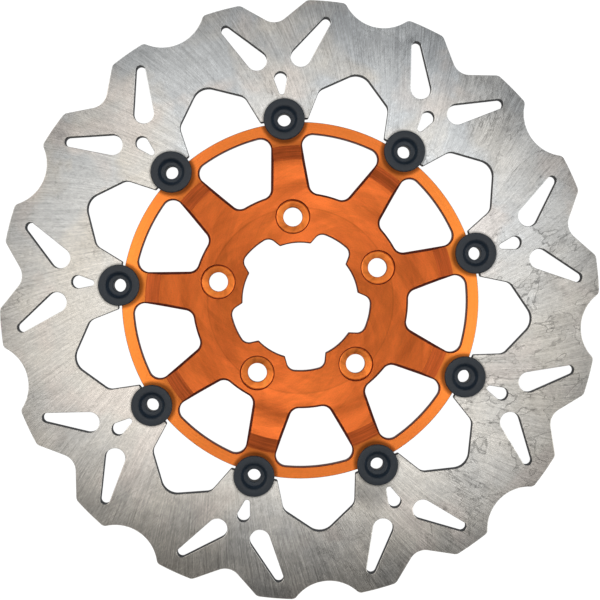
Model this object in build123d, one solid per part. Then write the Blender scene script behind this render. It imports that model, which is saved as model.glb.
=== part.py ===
from build123d import *
import os
from math import sin, cos, tan, radians, degrees, pi, sqrt, atan2, acos, hypot

# ---------------------------------------------------------------------------
# Floating wave brake rotor, 11.5 in, for a five-bolt 3.25 in wheel hub.
# Frame: millimetres, +Z along the spin axis towards the outer (visible) face,
# origin at the centre of the bolt circle on the hub's mounting face (z = 0).
# +Y is the mirror axis shared by the nine-fold ring and the five-fold hub:
# one bobbin and one bolt hole lie on it.
# ---------------------------------------------------------------------------

# heights
Z_BACK = 4.0          # back face of the brake ring and of the carrier's rim
RING_T = 5.0          # thickness of the brake ring and of the carrier's rim
Z_FRONT = Z_BACK + RING_T
HUB_FRONT = 6.5       # front of the hub outside the inner step
HUB_FRONT_IN = 6.35   # front of the hub inside the inner step

# brake ring outline
N_BUTTON = 9
A0 = 90.0             # angle of the first bobbin and of the first bolt hole
PITCH = 360.0 / N_BUTTON
RING_R = 146.05       # 11.5 in outside diameter
V_TIP = 134.0         # sharp bottom of the V valley, before its fillet
V_FLANK = 34.0        # flank of the V valley, degrees from tangential
V_FILLET = 8.4
V_CORNER = 3.6
U_BOTTOM = 137.68     # bottom of the round valley between two bobbins
U_R = 20.5            # radius of the round valley
U_CORNER = 3.0
# inner edge of the ring: tabs at the bobbins, five-sided scallops between
TAB_X = 88.0          # end of a tab
TAB_HALF = 11.6       # half width of the tab's end
TAB_ROUND = 0.8
SHOULDER = (101.3, 18.3)
SHOULDER_R = 5.0
APEX_R = 115.5
APEX_FILLET = 8.0
# slots through the ring: two long teardrops and a small one at each bobbin
SLOT_OUT = (133.6, 24.4, 2.35)
SLOT_IN = (118.1, 10.8, 5.0)
DROP_OUT = (108.5, 0.0, 3.15)
DROP_IN = (102.0, 0.0, 1.4)
RING_EDGE = 0.25      # edge break on the ring's faces

# bobbins
BUTTON_R = 88.5       # circle of bobbin centres
BARREL_R = 7.50
POCKET_CARRIER_R = 7.55
POCKET_RING_R = 7.60
FLANGE_R = 10.0
FLANGE_T = 1.5
FLANGE_GAP = 0.15     # axial play of the ring under each flange
FLANGE_Z = Z_FRONT + FLANGE_GAP
BOBBIN_TOP = FLANGE_Z + FLANGE_T
BOBBIN_END = 0.9
DISH_R = 6.3
DISH_FLOOR_R = 4.9
DISH_DEPTH = 3.0
BOBBIN_HOLE_R = 3.2

# hardware behind the ring, on each bobbin
WASHER_TOP = Z_BACK - FLANGE_GAP
WASHER_T = 0.8
WASHER_IN = 7.60
WASHER_OUT = 9.9
WAVE_T = 0.35
WAVE_AMP = 0.125
WAVE_MID = WASHER_TOP - WASHER_T - 0.025 - WAVE_AMP - WAVE_T / 2
WAVE_IN = 7.65
WAVE_OUT = 9.5
CLIP_T = 0.8
CLIP_TOP = WAVE_MID - WAVE_AMP - WAVE_T / 2 - 0.025
CLIP_IN = 7.0
CLIP_OUT = 8.7
GROOVE_R = 6.95

# carrier
RIM_R = 86.85
WINDOW_OUT = 81.6
WINDOW_IN = 52.6
SPOKE_HALF_75 = 7.3   # half width of a spoke at x = 75
SPOKE_TAPER = 0.098   # growth of the half width per mm towards the hub
WIN_FILLET_OUT = 5.5
WIN_FILLET_IN = 5.0
HUB_PAD_R = 50.0      # mounting pad on the back of the hub

# hub
BOLT_PCD = 82.55      # 3.25 in
BOLT_R = 4.7
N_BOLT = 5
RECESS_R = 8.2
RECESS_WALL = 1.9     # depth of the recess's straight wall
RECESS_DEPTH = 2.4    # depth at the edge of the hole
PILOT_R = 28.5
LOBE_R = 34.4
LOBE_MOUTH = (27.1, 9.95)
LOBE_DEEP = (34.4, 8.6)
LOBE_FILLET = 4.2
LOBE_CORNER = 0.8


def at(r, deg):
    return (r * cos(radians(deg)), r * sin(radians(deg)))


def turn(p, deg):
    c, s = cos(radians(deg)), sin(radians(deg))
    return (p[0] * c - p[1] * s, p[0] * s + p[1] * c)


def drop(c1, c2, deg):
    """Hull of two circles (x, y, r), turned by deg about the origin."""
    (x1, y1, r1), (x2, y2, r2) = c1, c2
    d = hypot(x2 - x1, y2 - y1)
    base = atan2(y2 - y1, x2 - x1)
    off = acos((r1 - r2) / d)
    p = []
    for s in (1, -1):
        a = base + s * off
        p.append(((x1 + r1 * cos(a), y1 + r1 * sin(a)),
                  (x2 + r2 * cos(a), y2 + r2 * sin(a))))
    far1 = (x1 - r1 * cos(base), y1 - r1 * sin(base))
    far2 = (x2 + r2 * cos(base), y2 + r2 * sin(base))
    (a1, a2), (b1, b2) = p
    q = lambda v: turn(v, deg)
    w = Wire([Line(q(a1), q(a2)), ThreePointArc(q(a2), q(far2), q(b2)),
              Line(q(b2), q(b1)), ThreePointArc(q(b1), q(far1), q(a1))])
    return Face(w)


def poly(points):
    return Face(Wire.make_polygon([Vector(x, y, 0) for x, y in points], close=True))


def near(face, r, tol=0.6):
    return [v for v in face.vertices() if abs(hypot(v.X, v.Y) - r) < tol]


# --- brake ring --------------------------------------------------------------
def ring_face():
    disc = Face(Wire.make_circle(RING_R))
    ft = radians(90 - V_FLANK)
    reach = 30.0
    cuts = []
    for k in range(N_BUTTON):
        a = A0 + k * PITCH
        tip = (V_TIP, 0)
        up = (V_TIP + reach * cos(ft), reach * sin(ft))
        dn = (up[0], -up[1])
        cuts.append(poly([turn(p, a) for p in (tip, dn, up)]))
        c = at(U_BOTTOM + U_R, a + PITCH / 2)
        cuts.append(Pos(c[0], c[1]) * Face(Wire.make_circle(U_R)))
    f = Sketch() + disc
    f = f - cuts
    f = fillet(near(f, V_TIP, 0.3), V_FILLET)
    corners = near(f, RING_R, 0.05)
    vees, rounds = [], []
    for v in corners:
        d = (degrees(atan2(v.Y, v.X)) - A0) % PITCH
        d = min(d, PITCH - d)
        (vees if d < 10 else rounds).append(v)
    print("outline corners", len(vees), len(rounds))
    f = fillet(vees, V_CORNER)
    rounds = [v for v in f.vertices() if abs(hypot(v.X, v.Y) - RING_R) < 0.05 and
              13.4 < min((degrees(atan2(v.Y, v.X)) - A0) % PITCH,
                         PITCH - (degrees(atan2(v.Y, v.X)) - A0) % PITCH) < 14.2]
    print("round valley corners", len(rounds))
    f = fillet(rounds, U_CORNER)

    inner = []
    for k in range(N_BUTTON):
        a = A0 + k * PITCH
        inner += [turn((TAB_X, -TAB_HALF), a), turn((TAB_X, TAB_HALF), a),
                  turn(SHOULDER, a), at(APEX_R, a + PITCH / 2),
                  turn((SHOULDER[0], -SHOULDER[1]), a + PITCH)]
    hole = Sketch() + poly(inner)
    hole = fillet(near(hole, APEX_R, 0.2), APEX_FILLET)
    hole = fillet(near(hole, hypot(*SHOULDER), 0.2), SHOULDER_R)
    hole = fillet(near(hole, hypot(TAB_X, TAB_HALF), 0.1), TAB_ROUND)
    f = f - hole
    for k in range(N_BUTTON):
        a = A0 + k * PITCH
        c = at(BUTTON_R, a)
        f = f - Pos(c[0], c[1]) * Face(Wire.make_circle(POCKET_RING_R))
        for s in (1, -1):
            f = f - drop((SLOT_OUT[0], s * SLOT_OUT[1], SLOT_OUT[2]),
                         (SLOT_IN[0], s * SLOT_IN[1], SLOT_IN[2]), a)
        f = f - drop(DROP_OUT, DROP_IN, a)
    return f


def face_edges(part, z):
    """Edges that lie in the horizontal plane at height z."""
    return [e for e in part.edges()
            if abs(e.bounding_box().min.Z - z) < 1e-4 and abs(e.bounding_box().max.Z - z) < 1e-4]


def make_ring():
    f = ring_face()
    body = Pos(0, 0, Z_BACK) * extrude(f, RING_T)
    try:
        b = chamfer(face_edges(body, Z_FRONT) + face_edges(body, Z_BACK), RING_EDGE)
        if b.is_valid and b.volume > 0.9 * body.volume:
            body = b
        else:
            print("ring edge break left out: invalid")
    except Exception as e:
        print("ring edge break left out:", e)
    return body


# --- carrier -----------------------------------------------------------------
def make_carrier():
    # section of the blank, (radius, height), turned about the spin axis
    sec = [(20, 0), (HUB_PAD_R, 0), (HUB_PAD_R + 0.5, 0.5), (66.0, 0.5), (75.6, Z_BACK),
           (RIM_R - 0.2, Z_BACK), (RIM_R, Z_BACK + 0.2), (RIM_R, Z_FRONT - 0.2), (RIM_R - 0.2, Z_FRONT),
           (75.6, Z_FRONT), (69.0, 6.75), (66.7, 6.60), (66.5, 6.50), (62.0, 6.32), (56.2, 6.38),
           (56.0, HUB_FRONT), (45.7, HUB_FRONT), (45.5, HUB_FRONT_IN), (20, HUB_FRONT_IN)]
    f = Face(Wire.make_polygon([Vector(r, 0, z) for r, z in sec], close=True))
    body = revolve(f, Axis.Z, 360)

    # windows between the spokes
    ring_zone = Face(Wire.make_circle(WINDOW_OUT)) - Face(Wire.make_circle(WINDOW_IN))
    win = Sketch() + ring_zone
    for k in range(N_BUTTON):
        a = A0 + k * PITCH
        x0, x1 = 45.0, 90.0
        w0 = SPOKE_HALF_75 + (75 - x0) * SPOKE_TAPER
        w1 = SPOKE_HALF_75 + (75 - x1) * SPOKE_TAPER
        win = win - poly([turn(p, a) for p in ((x0, -w0), (x1, -w1), (x1, w1), (x0, w0))])
    win = fillet(near(win, WINDOW_OUT, 0.2), WIN_FILLET_OUT)
    win = fillet(near(win, WINDOW_IN, 0.2), WIN_FILLET_IN)
    body = body - Pos(0, 0, -1) * extrude(win, 14)

    # pilot bore with its five relief lobes
    bore = Sketch() + Face(Wire.make_circle(PILOT_R))
    for k in range(N_BOLT):
        a = A0 + 36 + 72 * k
        mx, my = LOBE_MOUTH
        dx, dy = LOBE_DEEP
        g = (my - dy) / (dx - mx)
        lobe = Sketch() + poly([(mx - 6, -my - 6 * g), (dx + 3, -dy + 3 * g), (dx + 3, dy - 3 * g), (mx - 6, my + 6 * g)])
        lobe = lobe & Face(Wire.make_circle(LOBE_R))
        tips = [v for v in lobe.vertices() if abs(hypot(v.X, v.Y) - LOBE_R) < 0.02]
        lobe = fillet(tips, LOBE_FILLET)
        bore = bore + Rot(0, 0, a) * lobe
    mouth = [v for v in bore.vertices() if abs(hypot(v.X, v.Y) - PILOT_R) < 0.02]
    print("pilot mouth corners", len(mouth), "faces", len(bore.faces()), "valid", bore.is_valid)
    done = 0
    for v0 in mouth:
        v = min(bore.vertices(), key=lambda w: hypot(w.X - v0.X, w.Y - v0.Y))
        try:
            bore = fillet([v], LOBE_CORNER)
            done += 1
        except Exception as e:
            print("mouth rounding left out:", e)
    print("mouth corners rounded", done)
    body = body - Pos(0, 0, -1) * extrude(bore, 14)

    # bolt holes with dished recesses
    z = HUB_FRONT_IN
    rs = [(0, -1), (BOLT_R, -1), (BOLT_R, z - RECESS_DEPTH), (RECESS_R - 0.6, z - RECESS_WALL),
          (RECESS_R, z - RECESS_WALL + 0.6), (RECESS_R, z + 3), (0, z + 3)]
    cutter = revolve(Face(Wire.make_polygon([Vector(r, 0, h) for r, h in rs], close=True)), Axis.Z, 360)
    for k in range(N_BOLT):
        c = at(BOLT_PCD / 2, A0 + 72 * k)
        body = body - Pos(c[0], c[1]) * cutter

    # pockets for the bobbins, open to the rim
    for k in range(N_BUTTON):
        c = at(BUTTON_R, A0 + k * PITCH)
        body = body - Pos(c[0], c[1], -1) * Cylinder(POCKET_CARRIER_R, 14, align=(Align.CENTER, Align.CENTER, Align.MIN))
    return body


# --- bobbin and its hardware ---------------------------------------------------
def make_bobbin():
    t = BOBBIN_TOP
    pts = [(BOBBIN_HOLE_R, BOBBIN_END), (BARREL_R - 0.4, BOBBIN_END), (BARREL_R, BOBBIN_END + 0.4),
           (BARREL_R, CLIP_TOP - CLIP_T - 0.02), (GROOVE_R, CLIP_TOP - CLIP_T - 0.02),
           (GROOVE_R, CLIP_TOP + 0.02), (BARREL_R, CLIP_TOP + 0.02), (BARREL_R, FLANGE_Z),
           (FLANGE_R, FLANGE_Z), (FLANGE_R, t - 0.45), (FLANGE_R - 0.45, t), (DISH_R + 0.35, t),
           (DISH_R - 0.05, t - 0.3), (DISH_FLOOR_R, t - DISH_DEPTH), (BOBBIN_HOLE_R, t - DISH_DEPTH)]
    f = Face(Wire.make_polygon([Vector(r, 0, z) for r, z in pts], close=True))
    return revolve(f, Axis.Z, 360)


def make_flat_washer():
    z0 = WASHER_TOP - WASHER_T
    pts = [(WASHER_IN, z0), (WASHER_OUT - 0.12, z0), (WASHER_OUT, z0 + 0.12),
           (WASHER_OUT, WASHER_TOP - 0.12), (WASHER_OUT - 0.12, WASHER_TOP), (WASHER_IN, WASHER_TOP)]
    return revolve(Face(Wire.make_polygon([Vector(r, 0, z) for r, z in pts], close=True)), Axis.Z, 360)


def make_wave_washer():
    def station(deg):
        z = WAVE_MID + WAVE_AMP * cos(3 * radians(deg))
        c, s = cos(radians(deg)), sin(radians(deg))
        q = [(WAVE_IN, z - WAVE_T / 2), (WAVE_OUT, z - WAVE_T / 2), (WAVE_OUT, z + WAVE_T / 2), (WAVE_IN, z + WAVE_T / 2)]
        return Wire.make_polygon([Vector(r * c, r * s, h) for r, h in q], close=True)
    halves = []
    for start in (0, 180):
        halves.append(Solid.make_loft([station(start + 180 * i / 12) for i in range(13)]))
    return halves[0] + halves[1]


def make_circlip():
    z0 = CLIP_TOP - CLIP_T
    half = 26.0           # half of the gap between the lugs, degrees
    f = Sketch() + (Face(Wire.make_circle(CLIP_OUT)) - Face(Wire.make_circle(CLIP_IN)))
    wedge = poly([(0, 0), at(20, -half), at(22, 0), at(20, half)])
    f = f - wedge
    for s in (1, -1):
        c = at(8.1, s * (half + 8))
        f = f + (Pos(c[0], c[1]) * Face(Wire.make_circle(1.35)) - Face(Wire.make_circle(CLIP_IN)))
    for s in (1, -1):
        c = at(8.25, s * (half + 8))
        f = f - Pos(c[0], c[1]) * Face(Wire.make_circle(0.6))
    return Pos(0, 0, z0) * extrude(f, CLIP_T)


def one_solid(shape):
    s = shape.solids()
    return s[0] if len(s) == 1 else shape


def save(shape, name):
    solids = shape.solids()
    print("%-16s solids %d volume %.1f valid %s" % (name, len(solids), sum(s.volume for s in solids), shape.is_valid))
    export_step(one_solid(shape), "parts/%s.step" % name)


def main():
    os.makedirs("parts", exist_ok=True)
    save(make_ring(), "brake_ring")
    save(make_carrier(), "carrier")
    bobbin, washer, wave, clip = make_bobbin(), make_flat_washer(), make_wave_washer(), make_circlip()
    for k in range(N_BUTTON):
        a = A0 + k * PITCH
        place = Rot(0, 0, a) * Pos(BUTTON_R, 0, 0)
        n = k + 1
        save(place * bobbin, "bobbin_%d" % n)
        save(place * washer, "flat_washer_%d" % n)
        save(place * wave, "wave_washer_%d" % n)
        save(place * (Rot(0, 0, 25 + 40 * k) * clip), "circlip_%d" % n)


main()
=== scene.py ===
import bpy
import math
import numpy as np
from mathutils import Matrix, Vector
from mathutils.geometry import delaunay_2d_cdt


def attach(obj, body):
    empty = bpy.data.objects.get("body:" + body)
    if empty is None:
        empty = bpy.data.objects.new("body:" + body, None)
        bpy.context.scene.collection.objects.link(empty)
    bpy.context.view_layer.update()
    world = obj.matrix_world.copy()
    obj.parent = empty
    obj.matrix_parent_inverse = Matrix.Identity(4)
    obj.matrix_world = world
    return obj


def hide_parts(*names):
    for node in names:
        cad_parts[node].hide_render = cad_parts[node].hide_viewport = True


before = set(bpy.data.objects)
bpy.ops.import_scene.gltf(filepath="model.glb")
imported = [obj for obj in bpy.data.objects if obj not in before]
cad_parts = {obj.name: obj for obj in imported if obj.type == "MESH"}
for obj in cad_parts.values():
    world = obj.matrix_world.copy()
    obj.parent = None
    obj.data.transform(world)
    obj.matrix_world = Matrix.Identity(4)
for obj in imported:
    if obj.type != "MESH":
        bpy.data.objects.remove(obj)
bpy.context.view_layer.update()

# ---------------------------------------------------------------------------
# plane geometry, in millimetres
# ---------------------------------------------------------------------------
PITCH, A0 = 40.0, 90.0
STEP = 4.0            # largest turn of one chord, degrees
CHORD = 1.6           # longest chord on an arc


def V(x, y):
    return np.array([x, y], float)


def at(r, deg):
    return V(r * math.cos(math.radians(deg)), r * math.sin(math.radians(deg)))


def turned(p, deg):
    c, s = math.cos(math.radians(deg)), math.sin(math.radians(deg))
    p = np.asarray(p, float).reshape(-1, 2)
    return np.c_[p[:, 0] * c - p[:, 1] * s, p[:, 0] * s + p[:, 1] * c]


def ang(p):
    return math.degrees(math.atan2(p[1], p[0]))


def arc(c, p, q, chord=CHORD, step=STEP):
    """Points from p to q round c, by the shorter way, ends included."""
    c, p, q = V(*c), V(*p), V(*q)
    r = np.linalg.norm(p - c)
    a, b = ang(p - c), ang(q - c)
    d = (b - a + 180) % 360 - 180
    n = max(2, int(math.ceil(abs(d) / step)), int(math.ceil(math.radians(abs(d)) * r / chord)))
    t = np.radians(a + d * np.linspace(0, 1, n + 1))
    return np.c_[c[0] + r * np.cos(t), c[1] + r * np.sin(t)]


def join(*parts):
    out = []
    for part in parts:
        for p in np.asarray(part, float).reshape(-1, 2):
            if not out or np.linalg.norm(out[-1] - p) > 1e-4:
                out.append(p)
    return np.array(out)


def closed(points):
    points = join(points)
    return points[:-1] if np.linalg.norm(points[0] - points[-1]) < 1e-4 else points


def line_circle(p0, d, radius):
    """Where p0 + t d meets the circle about the origin, for the larger t."""
    b, c = float(np.dot(p0, d)), float(np.dot(p0, p0)) - radius * radius
    return p0 + (-b + math.sqrt(b * b - c)) * d


def circle_circle(c1, r1, c2, r2):
    c1, c2 = V(*c1), V(*c2)
    d = np.linalg.norm(c2 - c1)
    a = (r1 * r1 - r2 * r2 + d * d) / (2 * d)
    h = math.sqrt(r1 * r1 - a * a)
    e = (c2 - c1) / d
    m = c1 + a * e
    n = V(-e[1], e[0])
    return m + h * n, m - h * n


def mirrored_pitch(half, axis=PITCH / 2):
    """A half pitch, from its first axis to its second, with its mirror image after it."""
    t = math.radians(2 * axis)
    c, s = math.cos(t), math.sin(t)
    other = np.c_[half[:, 0] * c + half[:, 1] * s, half[:, 0] * s - half[:, 1] * c][::-1]
    return join(half, other)


def round_the_clock(pitch, n=9, start=A0):
    return closed(np.vstack([turned(pitch, start + 360 / n * k) for k in range(n)]))


def corner(p, v, q, r):
    """The corner p-v-q rounded with radius r."""
    p, v, q = V(*p), V(*v), V(*q)
    a, b = (p - v) / np.linalg.norm(p - v), (q - v) / np.linalg.norm(q - v)
    half = math.acos(max(-1, min(1, float(np.dot(a, b))))) / 2
    t = r / math.tan(half)
    m = (a + b) / np.linalg.norm(a + b)
    c = v + m * r / math.sin(half)
    return arc(c, v + a * t, v + b * t)


def subdivide(points, longest):
    """Closed loop with its long straight runs divided."""
    out = []
    n = len(points)
    for i in range(n):
        p, q = points[i], points[(i + 1) % n]
        k = max(1, int(math.ceil(np.linalg.norm(q - p) / longest)))
        out += [p + (q - p) * j / k for j in range(k)]
    return np.array(out)


def oriented(points, ccw):
    x, y = points[:, 0], points[:, 1]
    area = 0.5 * np.sum(x * np.roll(y, -1) - np.roll(x, -1) * y)
    return points if (area > 0) == ccw else points[::-1]


def offset(points, w):
    """Closed loop moved to its left by w, a number or one for each point."""
    e = np.roll(points, -1, 0) - points
    e /= np.linalg.norm(e, axis=1)[:, None]
    n = np.c_[-e[:, 1], e[:, 0]]
    p = np.roll(n, 1, 0)
    dot = np.clip((n * p).sum(1), -0.6, 1)
    m = (n + p) / (1 + dot)[:, None]
    return points + m * (np.ones(len(points)) * w)[:, None]


def inside(points, loops):
    """Even-odd test against all loops."""
    x, y = points[:, 0], points[:, 1]
    a, b = np.vstack(loops).T
    c, d = np.vstack([np.roll(lp, -1, 0) for lp in loops]).T
    keep = b != d
    a, b, c, d = a[keep], b[keep], c[keep], d[keep]
    slope = (c - a) / (d - b)
    count = np.zeros(len(points), int)
    for i in range(0, len(points), 500):
        X, Y = x[i:i + 500, None], y[i:i + 500, None]
        count[i:i + 500] = (((b > Y) != (d > Y)) & (X < slope * (Y - b) + a)).sum(1)
    return count % 2 == 1


def hull_drop(c1, c2, deg):
    """Outline round two circles (x, y, r)."""
    (x1, y1, r1), (x2, y2, r2) = c1, c2
    d = math.hypot(x2 - x1, y2 - y1)
    base, off = math.degrees(math.atan2(y2 - y1, x2 - x1)), math.degrees(math.acos((r1 - r2) / d))

    def span(c, r, a, b):
        n = max(6, int(math.ceil(abs(b - a) / STEP)))
        t = np.radians(np.linspace(a, b, n + 1))
        return np.c_[c[0] + r * np.cos(t), c[1] + r * np.sin(t)]
    one = span((x1, y1), r1, base + off, base + 360 - off)
    two = span((x2, y2), r2, base - off, base + off)
    return turned(closed(np.vstack([one, two])), deg)


# --- the ring's outline -----------------------------------------------------
RING_R, Z_BACK, Z_FRONT = 146.03, 4.0, 9.0


def ring_outer():
    R, ft = RING_R, math.radians(56)
    d, n, tip = V(math.cos(ft), math.sin(ft)), V(-math.sin(ft), math.cos(ft)), V(134.0, 0)
    T = tip + V(8.4 / math.sin(ft), 0)
    q1 = tip + (8.4 / math.tan(ft)) * d
    C1 = line_circle(tip + 3.6 * n, d, R - 3.6)
    q2, q3 = C1 - 3.6 * n, C1 * R / (R - 3.6)
    U = at(158.18, 20)
    C2 = min(circle_circle((0, 0), R - 3.0, U, 23.5), key=ang)
    q4, q5 = C2 * R / (R - 3.0), U + (C2 - U) * 20.5 / 23.5
    half = join(arc(T, T + V(-8.4, 0), q1), arc(C1, q2, q3), arc((0, 0), q3, q4), arc(C2, q4, q5), arc(U, q5, at(137.68, 20)))
    return round_the_clock(mirrored_pitch(half))


def ring_inner():
    y = math.sqrt(7.6 ** 2 - 0.5 ** 2)
    apex = at(115.5, 20)
    other = V(*turned((101.3, -18.3), 40)[0])
    half_apex = corner((101.3, 18.3), apex, other, 8.0)
    half_apex = half_apex[: len(half_apex) // 2 + 1]
    half = join(arc((88.5, 0), (96.1, 0), (88.0, y)), [(88.0, y + 0.4)], corner((88, y), (88, 11.6), (101.3, 18.3), 0.8),
                corner((88, 11.6), (101.3, 18.3), apex, 5.0), half_apex)
    return round_the_clock(mirrored_pitch(half))


def ring_slots():
    out = []
    for k in range(9):
        a = A0 + PITCH * k
        for s in (1, -1):
            out.append(hull_drop((133.6, s * 24.4, 2.35), (118.1, s * 10.8, 5.0), a))
        out.append(hull_drop((108.5, 0, 3.15), (102.0, 0, 1.4), a))
    return out


# --- the carrier's outlines ---------------------------------------------------
RIM_R = 86.85


def carrier_outer():
    both = circle_circle((0, 0), RIM_R, (88.5, 0), 7.55)
    q = max(both, key=lambda p: p[1])
    half = join(arc((88.5, 0), (80.95, 0), q), arc((0, 0), q, at(RIM_R, 20)))
    return round_the_clock(mirrored_pitch(half))


def window():
    """The window after the spoke at angle 0."""
    slope = -0.098
    d = V(1, slope) / math.hypot(1, slope)
    n = V(-d[1], d[0])
    p0 = V(75, 7.3)
    Co = line_circle(p0 + 5.5 * n, d, 81.6 - 5.5)
    Ci = line_circle(p0 + 5.0 * n, d, 52.6 + 5.0)
    half = join(arc((0, 0), at(52.6, 20), Ci * 52.6 / 57.6), arc(Ci, Ci * 52.6 / 57.6, Ci - 5.0 * n),
                arc(Co, Co - 5.5 * n, Co * 81.6 / 76.1), arc((0, 0), Co * 81.6 / 76.1, at(81.6, 20)))
    return closed(mirrored_pitch(half[::-1]))


def pilot():
    g = (9.95 - 8.6) / (34.4 - 27.1)
    d = V(1, -g) / math.hypot(1, g)
    n = V(-d[1], d[0])
    p0 = V(27.1, 9.95)
    Cm = line_circle(p0 + 0.8 * n, d, 29.3)
    Cd = line_circle(p0 - 4.2 * n, d, 34.4 - 4.2)
    half = join(arc((0, 0), at(34.4, 0), Cd * 34.4 / 30.2), arc(Cd, Cd * 34.4 / 30.2, Cd + 4.2 * n),
                arc(Cm, Cm - 0.8 * n, Cm * 28.5 / 29.3), arc((0, 0), Cm * 28.5 / 29.3, at(28.5, 36)))
    return round_the_clock(mirrored_pitch(half, 36), 5, A0 + 36)


# ---------------------------------------------------------------------------
# closed bodies from outlines
# ---------------------------------------------------------------------------
class Body:
    """Vertices in millimetres and faces with a material number."""

    def __init__(self):
        self.v, self.f, self.m = [], [], []

    def add(self, xy, z):
        """Adds points and gives their numbers."""
        start = len(self.v)
        z = np.ones(len(xy)) * z
        self.v += [(p[0], p[1], h) for p, h in zip(xy, z)]
        return list(range(start, len(self.v)))

    def strip(self, a, b, m=0, flip=False):
        """Quads between two closed rows of the same count."""
        n = len(a)
        for i in range(n):
            j = (i + 1) % n
            q = (a[i], b[i], b[j], a[j])
            self.f.append(q[::-1] if flip else q)
            self.m.append(m)

    def object(self, name, materials, sharp=12.0):
        mesh = bpy.data.meshes.new(name)
        mesh.from_pydata([(x / 1000, y / 1000, z / 1000) for x, y, z in self.v], [], self.f)
        mesh.validate()
        for mat in materials:
            mesh.materials.append(mat)
        mesh.polygons.foreach_set("material_index", np.array(self.m, np.int32))
        mesh.polygons.foreach_set("use_smooth", np.ones(len(self.f), bool))
        mesh.update()
        mesh.set_sharp_from_angle(angle=math.radians(sharp))
        ob = bpy.data.objects.new(name, mesh)
        bpy.context.scene.collection.objects.link(ob)
        return ob


def triangles(loops, chains=()):
    """Delaunay triangles of the region inside loops (even-odd). Points of chains that meet a loop are the loop's own.
    Gives all points, the number of each loop's points, and the triangles."""
    table, pts, edges = {}, [], []

    def number(p):
        key = (round(p[0], 5), round(p[1], 5))
        if key not in table:
            table[key] = len(pts)
            pts.append(p)
        return table[key]
    rows = []
    for lp in loops:
        ids = [number(p) for p in lp]
        rows.append(ids)
        edges += [(ids[i], ids[(i + 1) % len(ids)]) for i in range(len(ids))]
    for ch in chains:
        ids = [number(p) for p in ch]
        edges += [(a, b) for a, b in zip(ids, ids[1:]) if a != b]
    out = delaunay_2d_cdt([Vector((p[0], p[1])) for p in pts], edges, [], 0, 1e-7, True)
    vo, fo, origin = out[0], out[2], out[3]
    to_in = [(o[0] if len(o) else -1) for o in origin]
    extra = [i for i, o in enumerate(to_in) if o < 0]
    if extra:
        raise RuntimeError("outlines cross at %s" % [tuple(round(c, 3) for c in vo[i]) for i in extra[:6]])
    P = np.array(pts)
    tri = np.array([[to_in[i] for i in f] for f in fo])
    a, b, c = P[tri[:, 0]], P[tri[:, 1]], P[tri[:, 2]]
    area = (b[:, 0] - a[:, 0]) * (c[:, 1] - a[:, 1]) - (b[:, 1] - a[:, 1]) * (c[:, 0] - a[:, 0])
    tri[area < 0] = tri[area < 0][:, ::-1]
    keep = inside((a + b + c) / 3, loops) & (abs(area) > 1e-9)
    return P, rows, tri[keep]


def radial(profile):
    r, z = zip(*sorted(profile))
    return lambda q: np.interp(q, r, z)


def size(p):
    return np.hypot(p[:, 0], p[:, 1])


def circle_chains(radii, loops, step=1.5):
    """Arcs of the circles about the origin that lie inside the region, from loop point to loop point."""
    out = []
    for rho in radii:
        hits = []
        for lp in loops:
            r = size(lp)
            hits += [ang(p) % 360 for p in lp[abs(r - rho) < 1e-6]]
        hits = sorted(set(round(h, 7) for h in hits))
        if not hits:
            n = int(360 / step)
            t = np.radians(np.arange(n + 1) * 360 / n)
            ring = np.c_[rho * np.cos(t), rho * np.sin(t)]
            if inside(ring[:1], loops)[0]:
                out.append(ring)
            continue
        for a, b in zip(hits, hits[1:] + [hits[0] + 360]):
            mid = at(rho, (a + b) / 2)
            if b - a < 1e-4 or not inside(mid.reshape(1, 2), loops)[0]:
                continue
            n = max(1, int(math.ceil((b - a) / step)))
            t = np.radians(np.linspace(a, b, n + 1))
            row = np.c_[rho * np.cos(t), rho * np.sin(t)]
            for end, h in ((0, a), (-1, b)):     # the loop's own point
                p = at(rho, h)
                near = [lp[np.argmin(((lp - p) ** 2).sum(1))] for lp in loops]
                row[end] = min(near, key=lambda q: ((q - p) ** 2).sum())
            out.append(row)
    return out


def cross_points(rows, radii_by_row):
    """Rows are matching closed loops. Adds a point to all of them where one crosses one of its circles."""
    n = len(rows[0])
    cuts = []
    for i, radii in radii_by_row.items():
        row = rows[i]
        r = size(row)
        for j in range(n):
            p, q = row[j], row[(j + 1) % n]
            ra, rb = r[j], r[(j + 1) % n]
            for rho in radii:
                if (ra - rho) * (rb - rho) < 0 and abs(ra - rho) > 1e-6 and abs(rb - rho) > 1e-6:
                    d = q - p
                    A, B, C = d @ d, 2 * p @ d, p @ p - rho * rho
                    s = math.sqrt(B * B - 4 * A * C)
                    for t in ((-B + s) / (2 * A), (-B - s) / (2 * A)):
                        if 0 < t < 1:
                            cuts.append((j, t, i, rho))
    cuts.sort()
    out = [[] for _ in rows]
    k = 0
    for j in range(n):
        for o, row in zip(out, rows):
            o.append(row[j])
        while k < len(cuts) and cuts[k][0] == j:
            _, t, which, rho = cuts[k]
            for i, (o, row) in enumerate(zip(out, rows)):
                p = row[j] + (row[(j + 1) % n] - row[j]) * t
                if i == which:
                    p = p * rho / np.linalg.norm(p)
                o.append(p)
            k += 1
    return [np.array(o) for o in out]


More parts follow.
